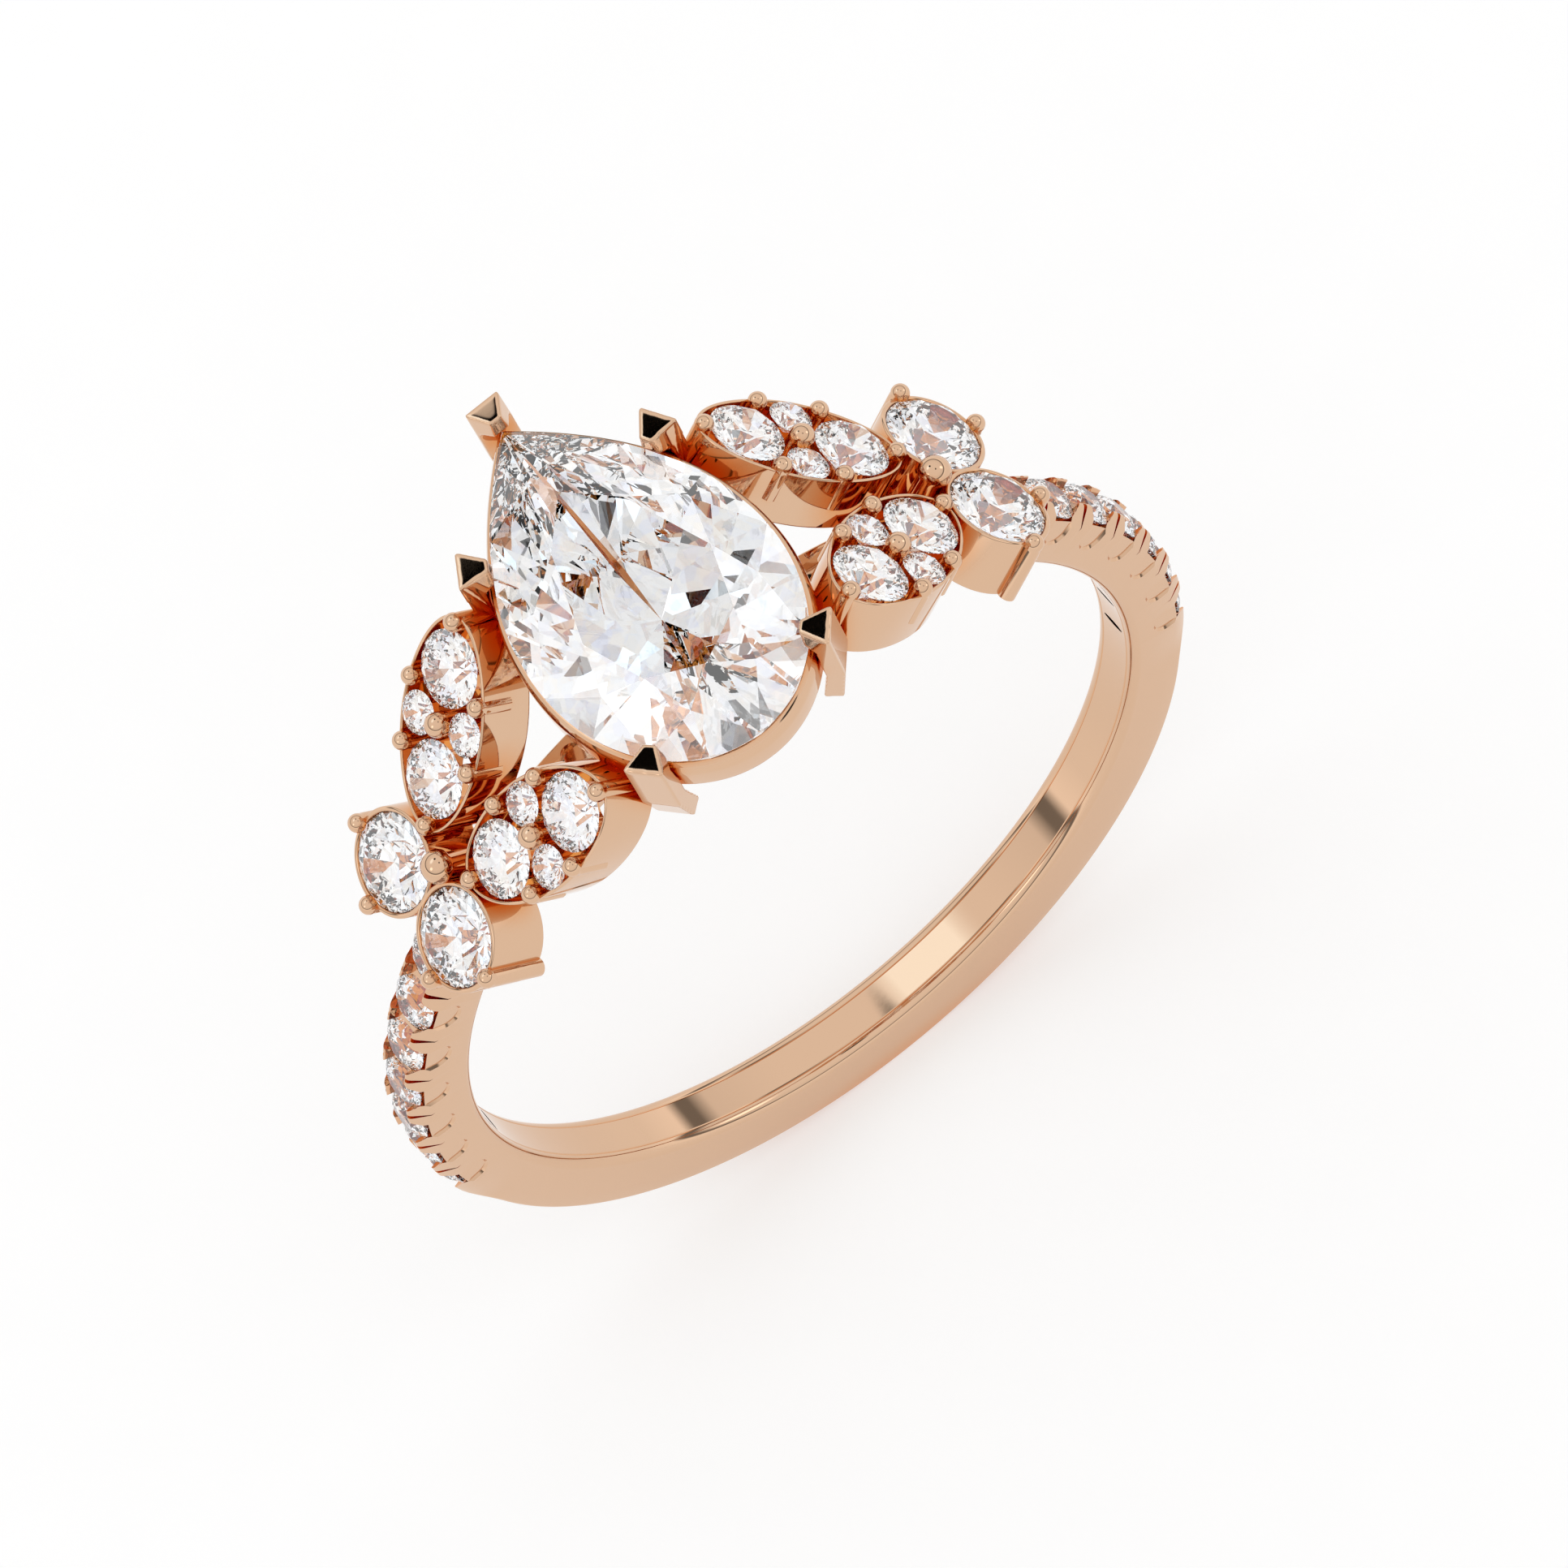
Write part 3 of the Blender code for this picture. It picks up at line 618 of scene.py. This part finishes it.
def scoop(shape, place, edge):
    # a U-shaped cut into the side wall below a stone, flared where it meets the wall
    wide = pave["scoopHalf"]
    foot = pave["prong"] - pave["scoopDeep"] + wide
    arc = [math.pi * i / 12 for i in range(13)]
    bowl = [(wide * math.cos(a), foot - wide * math.sin(a)) for a in arc]
    outline = [(wide, 0.6)] + bowl + [(-wide, 0.6)]
    half = shank["halfWidth"]
    cut = bareMesh()
    base = cut.faces.new([cut.verts.new((x, 0, z)) for x, z in outline])
    for reach, flare in ((half - 0.05 - pave["scoopIn"], 1.0), (0.06, 1.22), (0.3, 1.0)):
        made = bmesh.ops.extrude_face_region(cut, geom=[base])["geom"]
        base = [f for f in made if isinstance(f, bmesh.types.BMFace)][0]
        bmesh.ops.translate(cut, vec=(0, reach, 0), verts=base.verts)
        middle = Matrix.Translation((0, 0, -foot))
        bmesh.ops.scale(cut, vec=(flare, 1, flare), space=middle, verts=base.verts)
    bmesh.ops.translate(cut, vec=(0, pave["scoopIn"], 0), verts=cut.verts)
    bmesh.ops.transform(cut, matrix=place @ Matrix.Diagonal((1, edge, 1, 1)), verts=cut.verts)
    bmesh.ops.recalc_face_normals(cut, faces=cut.faces)
    absorb(shape, cut)


def makePaveStones():
    angles, _ = paveAngles()
    for side, sign in sides:
        for number, angle in enumerate(angles, 1):
            place = pavePlace(sign, angle, pave["sink"])
            turn = pave["turn"] * number
            cutRound(f"pave{side.title()}{number}", pave["radius"], place, turn, f"pave_{side}_{number}")


makeShank()
makePaveStones()
print("shank and pave made")


def shoulderPlace(sign, along, across, turn=0.0):
    # local Z is the sloping plane's normal, local X runs down it, away from the head
    tilt = shoulder["tilt"]
    normal = Vector((sign * math.sin(tilt), 0, math.cos(tilt)))
    down = Vector((sign * math.cos(tilt), 0, -math.sin(tilt)))
    side = Vector((0, 1, 0))
    localX = down * math.cos(turn) + side * math.sin(turn)
    place = Matrix((localX, normal.cross(localX), normal)).transposed().to_4x4()
    place.translation = normal * shoulderDistance + down * along + side * across + Vector((0, 0, boreZ))
    return place


# how far round the ball of a bead goes, in half turns, and the neck's share of its radius
headTurn = 0.62
neckShare = 0.96


def post(shape, place, x, y, radius, low, rise, steps=20, stretch=(1, 1)):
    # a post with a ball-like head
    head = [(radius * math.sin(a), rise - radius + radius * math.cos(a)) for a in
            [math.pi * headTurn * i / 9 for i in range(10)]]
    neck = neckShare * radius
    profile = head + [(neck, head[-1][1] - 0.04), (neck, low), (0, low)]
    stretched = Matrix.Diagonal((stretch[0], stretch[1], 1, 1))
    turned(shape, [(r, h) for r, h in profile], steps, place @ Matrix.Translation((x, y, 0)) @ stretched)


def leafPoint(angle, inset):
    x = math.copysign(abs(math.cos(angle)) ** 1.08, math.cos(angle))
    y = math.copysign(abs(math.sin(angle)) ** 1.02, math.sin(angle))
    return x * (leaf["halfLength"] - inset), y * (leaf["halfWidth"] - inset)


def drill(shape, radius, steps, x, y):
    # a round hole right through the floor of a leaf
    start = Matrix.Translation((x, y, leaf["drillFrom"]))
    turned(shape, [(0, 0), (radius, 0), (radius, -2), (0, -2)], steps, start)


def makeLeaf(end, way, side, sign):
    place = shoulderPlace(sign, leafAlong, way * leaf["across"], -way * leaf["turn"])
    tray = bareMesh()
    wall = leaf["wall"]
    # radius 1 is the outline and each millimetre inwards is taken off it
    section = [
        (0, -leaf["height"]), (1, -leaf["height"]), (1, 0), (1 - wall, 0),
        (1 - wall, -leaf["pocket"]), (0, -leaf["pocket"]),
    ]
    turned(tray, rounded(section, 0.05, 4), 96)
    for vert in tray.verts:
        radius = math.hypot(vert.co.x, vert.co.y)
        angle = math.atan2(vert.co.y, vert.co.x)
        if radius > 0.5:
            vert.co.x, vert.co.y = leafPoint(angle, 1 - radius)
        else:
            x, y = leafPoint(angle, 0.5)
            vert.co.x, vert.co.y = x * radius * 2, y * radius * 2
    body = toObject(tray, f"leaf{end.title()}{side.title()}")
    holes = bareMesh()
    for x in (-leaf["largeAt"], leaf["largeAt"]):
        drill(holes, leaf["largeHole"], 32, x, 0)
    for y in (-leaf["smallAt"], leaf["smallAt"]):
        drill(holes, leaf["smallHole"], 24, 0, y)
    carve(body, toObject(holes, "leafHoles"))
    beads = bareMesh()
    beads.from_mesh(body.data)
    spot = Matrix()
    low = -leaf["pocket"] - 0.1
    for x in (-leaf["endBeadAt"], leaf["endBeadAt"]):
        post(beads, spot, x, 0, leaf["bead"], low, leaf["beadRise"])
    for sx in (-1, 1):
        for sy in (-1, 1):
            x = sx * leaf["sideBeadX"]
            y = sy * leaf["sideBeadY"]
            post(beads, spot, x, y, leaf["bead"], low, leaf["beadRise"])
    post(beads, spot, 0, 0, leaf["middleBead"], low, leaf["middleRise"], 28, (1.05, 1.2))
    bmesh.ops.transform(beads, matrix=place, verts=beads.verts)
    old = body.data
    mesh = bpy.data.meshes.new(body.name)
    beads.to_mesh(mesh)
    beads.free()
    body.data = mesh
    bpy.data.meshes.remove(old)
    finishMetal(body, f"leaf_{end}_{side}")
    stones = (
        ("large_inner", -leaf["largeAt"], 0.0, leaf["largeStone"]),
        ("large_outer", leaf["largeAt"], 0.0, leaf["largeStone"]),
        ("small_front", 0.0, -leaf["smallAt"], leaf["smallStone"]),
        ("small_back", 0.0, leaf["smallAt"], leaf["smallStone"]),
    )
    for label, x, y, radius in stones:
        spot = place @ Matrix.Translation((x, y, -leaf["stoneSink"]))
        name = f"leaf{end.title()}{side.title()}{label.title().replace('_', '')}"
        cutRound(name, radius, spot, 0.3 + x, f"leaf_{end}_{side}_{label}")


def makeCup(end, way, side, sign):
    place = shoulderPlace(sign, cupAlong, way * cupAcross)
    shape = bareMesh()
    inside = cup["stone"] + 0.01
    section = [
        (0, -0.95), (0.35, -0.95), (inside, -0.1), (inside, 0.02), (cupRadius, 0.02),
        (cupRadius, -cup["height"]), (0.5, -cup["height"]), (0, -cup["height"]),
    ]
    turned(shape, rounded(section, 0.05, 4), 80, place)
    outward = (place.to_3x3() @ Vector((0, 1, 0))).y * way
    reach = cupRadius + 0.03
    for x, y in ((reach, 0.0), (0.0, math.copysign(reach, outward))):
        post(shape, place, x, y, cup["bead"], -cup["height"] + 0.01, cup["beadRise"])
    finishMetal(toObject(shape, f"cup{end.title()}{side.title()}"), f"collet_{end}_{side}")
    spot = place @ Matrix.Translation((0, 0, -cup["stoneSink"]))
    cutRound(f"cup{end.title()}{side.title()}Stone", cup["stone"], spot, 0.2, f"collet_{end}_{side}_stone")


def makeBigBead(side, sign):
    place = shoulderPlace(sign, bigBeadAlong, 0.0)
    shape = bareMesh()
    arc = [math.pi * 0.58 * i / 12 for i in range(13)]
    dome = [(math.sin(a), bigBead["middle"] + bigBead["rise"] * math.cos(a)) for a in arc]
    profile = dome + [(0.72, -0.08), (0.68, -shoulder["depth"]), (0, -shoulder["depth"])]
    flat = Matrix.Diagonal((bigBead["halfAlong"], bigBead["halfAcross"], 1, 1))
    turned(shape, profile, 40, place @ flat)
    return finishMetal(toObject(shape, f"shoulderBead{side.title()}"), f"shoulder_bead_{side}")


for side, sign in sides:
    for end, way in ends:
        makeLeaf(end, way, side, sign)
        makeCup(end, way, side, sign)
    makeBigBead(side, sign)
print("shoulders made")


rail = {
    "belowGirdle": 0.06,
    "proud": 0.13,
    "height": 0.78,
    "seat": 0.04,
    "inside": 0.3,
    "shoulder": 0.2,
    "round": 0.1,
    "steps": 144,
}
claw = {
    "width": 0.8,
    "depth": 0.41,
    "pointDepth": 0.22,
    "rise": 0.62,
    "drop": 1.85,
    "lean": 0.25,
    "hold": 0.06,
    "tip": 0.13,
    "upperY": 2.5,
    "lowerY": -2.8,
    "belowRail": 0.03,
    "grain": 0.03,
    "polish": 16,
    "polishForce": 0.5,
}


def makeRail():
    top = girdleZ - rail["belowGirdle"] - rail["seat"]
    foot = top - rail["height"]
    half = pear["halfWidth"]
    corners = [
        (half - 0.06, top), (half + rail["proud"] * 0.4, top),
        (half + rail["proud"], top - rail["shoulder"]),
        (half + rail["proud"] * 0.9, foot), (half - rail["inside"], foot),
        (half - rail["inside"], foot + 0.3 * rail["height"]),
    ]
    # one point stands for the first rounded corner, and the loop closes on it
    section = rounded(corners + corners[:2], rail["round"], 4)[5:-1]
    shape = spunLoop([(r, 0, z) for r, z in section], (0, 0, 1), rail["steps"])
    for vert in shape.verts:
        scale = math.hypot(vert.co.x, vert.co.y) / half
        flat = pearAt(math.atan2(vert.co.x, vert.co.y)) * scale
        vert.co = (flat.x, flat.y + pear["belly"], vert.co.z)
    return finishMetal(toObject(shape, "galleryRail"), "gallery_rail")


def halfWidthAt(y):
    rise = y - pear["belly"]
    if rise >= 0:
        return pear["halfWidth"] * (1 - (rise / pear["point"]) ** pear["taper"])
    return pear["halfWidth"] * math.sqrt(1 - (rise / pear["round"]) ** 2)


def clawPlaces():
    places = [("clawPoint", "claw_point", 0.0, pear["belly"] + pear["point"], Vector((0, 1, 0)))]
    for label, y in (("upper", claw["upperY"]), ("lower", claw["lowerY"])):
        slope = (halfWidthAt(y + 0.01) - halfWidthAt(y - 0.01)) / 0.02
        for side, sign in sides:
            out = Vector((sign, -slope, 0)).normalized()
            name = f"claw{label.title()}{side.title()}"
            places.append((name, f"claw_{label}_{side}", sign * halfWidthAt(y), y, out))
    for name, node, x, y, out in places:
        place = Matrix((out, Vector((0, 0, 1)).cross(out), (0, 0, 1))).transposed().to_4x4()
        place.translation = (x, y, girdleZ)
        yield name, node, place


def makeClaw(name, node, place):
    half = claw["width"] / 2
    out = place.col[0].to_3d()
    fromBelly = place.translation - Vector((0, pear["belly"], girdleZ))
    inner = rail["proud"] * fromBelly.dot(out) / pear["halfWidth"] + 0.01
    depth = claw["pointDepth"] if node == "claw_point" else claw["depth"]
    outer = inner + depth
    underRail = -rail["belowGirdle"] - rail["seat"] - rail["height"] - claw["belowRail"]
    rise = claw["rise"]
    drop = claw["drop"]
    lean = claw["lean"]
    outline = (
        (-claw["hold"], 0.1),
        (-claw["hold"], rise),
        (outer, rise),
        (outer - 0.02, underRail),
        (outer - lean, -drop),
        (outer - lean - depth, -drop),
        (inner, underRail),
        (inner, 0.0),
    )
    shape = bareMesh()
    prism(shape, outline, upright, -half, half)
    for side in (-1, 1):
        tip = Vector((-claw["hold"], side * claw["tip"], rise))
        corner = Vector((outer - 0.06, side * half, rise))
        cheek = Vector((inner - 0.1, side * half, -0.9))
        sliceOff(shape, tip, side * (corner - tip).cross(cheek - tip))
    bmesh.ops.transform(shape, matrix=place, verts=shape.verts)
    piece = toObject(shape, name)
    wax = piece.modifiers.new("wax", "REMESH")
    wax.mode = "VOXEL"
    wax.voxel_size = claw["grain"]
    polish = piece.modifiers.new("polish", "SMOOTH")
    polish.factor = claw["polishForce"]
    polish.iterations = claw["polish"]
    settle(piece)
    return finishMetal(piece, node, sharp=60)


makeRail()
for name, node, place in clawPlaces():
    makeClaw(name, node, place)
for node in ("head_base", "shoulder_bridge_left", "shoulder_bridge_right"):
    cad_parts[node].data.materials.clear()
    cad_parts[node].data.materials.append(roseGold)
brilliantBlank.free()
print("head made")


studio = {
    "floorRadius": 1.2,
    "floorGlow": 0.42,
    "paper": ("#CFCFCF", "#D1D1D1"),
    "sky": 1.0,
    "aimHeight": 0.022,
}
# each card: direction from the ring, distance, width, height, colour, strength, edge softness
cards = {
    "softBoxTop": ((-0.22, 0.44, 0.85), 0.4, 0.34, 0.2, "#E4F4FF", 1.75, 0.25),
    "softBoxLeft": ((-0.8, -0.1, 0.7), 0.4, 0.16, 0.2, "#FFFFFF", 1.9, 0.25),
    "softBoxRight": ((0.9, -0.3, 0.6), 0.4, 0.16, 0.2, "#FFFFFF", 1.9, 0.25),
    "blackFlagHead": ((0.08, 0.45, 0.89), 0.06, 0.0165, 0.0165, "#000000", 0.0, 0.05),
    "greyFlagTop": ((0.3, -0.2, 0.93), 0.4, 0.1, 0.07, "#404040", 1.0, 0.05),
}
# brightness of the room by height, from straight down (0) to straight up (1), with a dim band
# just above eye level that draws a dark line on polished metal
room = ((0.5, 1.0), (0.6, 1.15), (0.63, 0.22), (0.66, 0.22), (0.7, 0.9), (0.85, 1.0), (1.0, 1.0))


def makeFloor():
    shape = bareMesh()
    bmesh.ops.create_circle(shape, cap_ends=True, segments=96, radius=studio["floorRadius"])
    floor = linked(shape, "studioFloor")
    made, tree, shader = newMaterial("whiteStudioPaper")
    place = addNode(tree, "ShaderNodeTexCoord")
    tooth = addNode(tree, "ShaderNodeTexNoise", {"Scale": 1 / (2.0 * mm)}, Vector=place.outputs["Object"])
    ramp = addNode(tree, "ShaderNodeValToRGB", Fac=tooth.outputs["Fac"])
    for band, colour in zip(ramp.color_ramp.elements, studio["paper"]):
        band.color = linear(colour)
    tree.links.new(ramp.outputs["Color"], shader.inputs["Base Color"])
    shader.inputs["Roughness"].default_value = 1.0
    shader.inputs["Specular IOR Level"].default_value = 0.0
    shader.inputs["Emission Color"].default_value = (1, 1, 1, 1)
    shader.inputs["Emission Strength"].default_value = studio["floorGlow"]
    floor.data.materials.append(made)


def makeCard(name, direction, distance, width, height, colour, strength, soft):
    # a studio card with a soft edge, seen by reflection and through the stones, with no shadow
    shape = bareMesh()
    bmesh.ops.create_grid(shape, x_segments=1, y_segments=1, size=0.5)
    facing = Vector(direction).normalized()
    turn = (-facing).to_track_quat("Z", "Y").to_matrix().to_4x4()
    spot = Matrix.Translation(facing * distance + Vector((0, 0, studio["aimHeight"])))
    card = linked(shape, name)
    card.matrix_world = spot @ turn @ Matrix.Diagonal((width, height, 1, 1))
    made, tree, shader = newMaterial(name)
    place = addNode(tree, "ShaderNodeTexCoord")
    double = addNode(tree, "ShaderNodeMapping", {"Scale": (2, 2, 2)}, Vector=place.outputs["Object"])
    glow = addNode(
        tree, "ShaderNodeTexGradient", {"gradient_type": "QUADRATIC_SPHERE"},
        Vector=double.outputs["Vector"],
    )
    ramp = addNode(tree, "ShaderNodeValToRGB", Fac=glow.outputs["Fac"])
    ramp.color_ramp.elements[1].position = soft
    tree.links.new(ramp.outputs["Color"], shader.inputs["Alpha"])
    shader.inputs["Base Color"].default_value = (0, 0, 0, 1)
    shader.inputs["Roughness"].default_value = 1.0
    shader.inputs["Specular IOR Level"].default_value = 0.0
    shader.inputs["Emission Color"].default_value = linear(colour)
    shader.inputs["Emission Strength"].default_value = strength
    card.data.materials.append(made)
    card.visible_camera = False
    card.visible_diffuse = False
    card.visible_shadow = False


def makeStudio():
    world = bpy.data.worlds.new("studio")
    bpy.context.scene.world = world
    world.use_nodes = True
    tree = world.node_tree
    place = addNode(tree, "ShaderNodeTexCoord")
    split = addNode(tree, "ShaderNodeSeparateXYZ", Vector=place.outputs["Generated"])
    height = addNode(tree, "ShaderNodeMapRange", {"From Min": -1.0}, Value=split.outputs["Z"])
    ramp = addNode(tree, "ShaderNodeValToRGB", Fac=height.outputs["Result"])
    bands = ramp.color_ramp.elements
    for i, (position, light) in enumerate(room):
        band = bands[i] if i < 2 else bands.new(position)
        band.position = position
        band.color = (light, light, light, 1)
    back = tree.nodes["Background"]
    tree.links.new(ramp.outputs["Color"], back.inputs["Color"])
    back.inputs["Strength"].default_value = studio["sky"]
    for name, facts in cards.items():
        makeCard(name, *facts)


cameraPlace = {
    "azimuth": math.radians(-10.07),
    "elevation": math.radians(62.92),
    "roll": math.radians(29.51),
    "lens": 223.6,
    "spot": (-0.01502, -0.08770, 0.18631),
}


def makeCamera(facts):
    data = bpy.data.cameras.new("camera")
    data.lens = facts["lens"]
    data.sensor_width = 36.0
    camera = bpy.data.objects.new("camera", data)
    bpy.context.scene.collection.objects.link(camera)
    az = facts["azimuth"]
    el = facts["elevation"]
    ahead = Vector((-math.sin(az) * math.cos(el), math.cos(az) * math.cos(el), -math.sin(el)))
    right = ahead.cross(Vector((0, 0, 1))).normalized()
    up = right.cross(ahead)
    level = Matrix((right, up, -ahead)).transposed()
    turn = (level @ Matrix.Rotation(-facts["roll"], 3, "Z")).to_4x4()
    camera.matrix_world = Matrix.Translation(facts["spot"]) @ turn
    bpy.context.scene.camera = camera


makeFloor()
makeStudio()
makeCamera(cameraPlace)
bpy.context.scene.view_settings.view_transform = "Standard"
# light bounces many times inside a cut stone before it leaves
bpy.context.scene.cycles.max_bounces = 24
bpy.context.scene.cycles.glossy_bounces = 16
bpy.context.scene.cycles.transmission_bounces = 20
print("studio made")
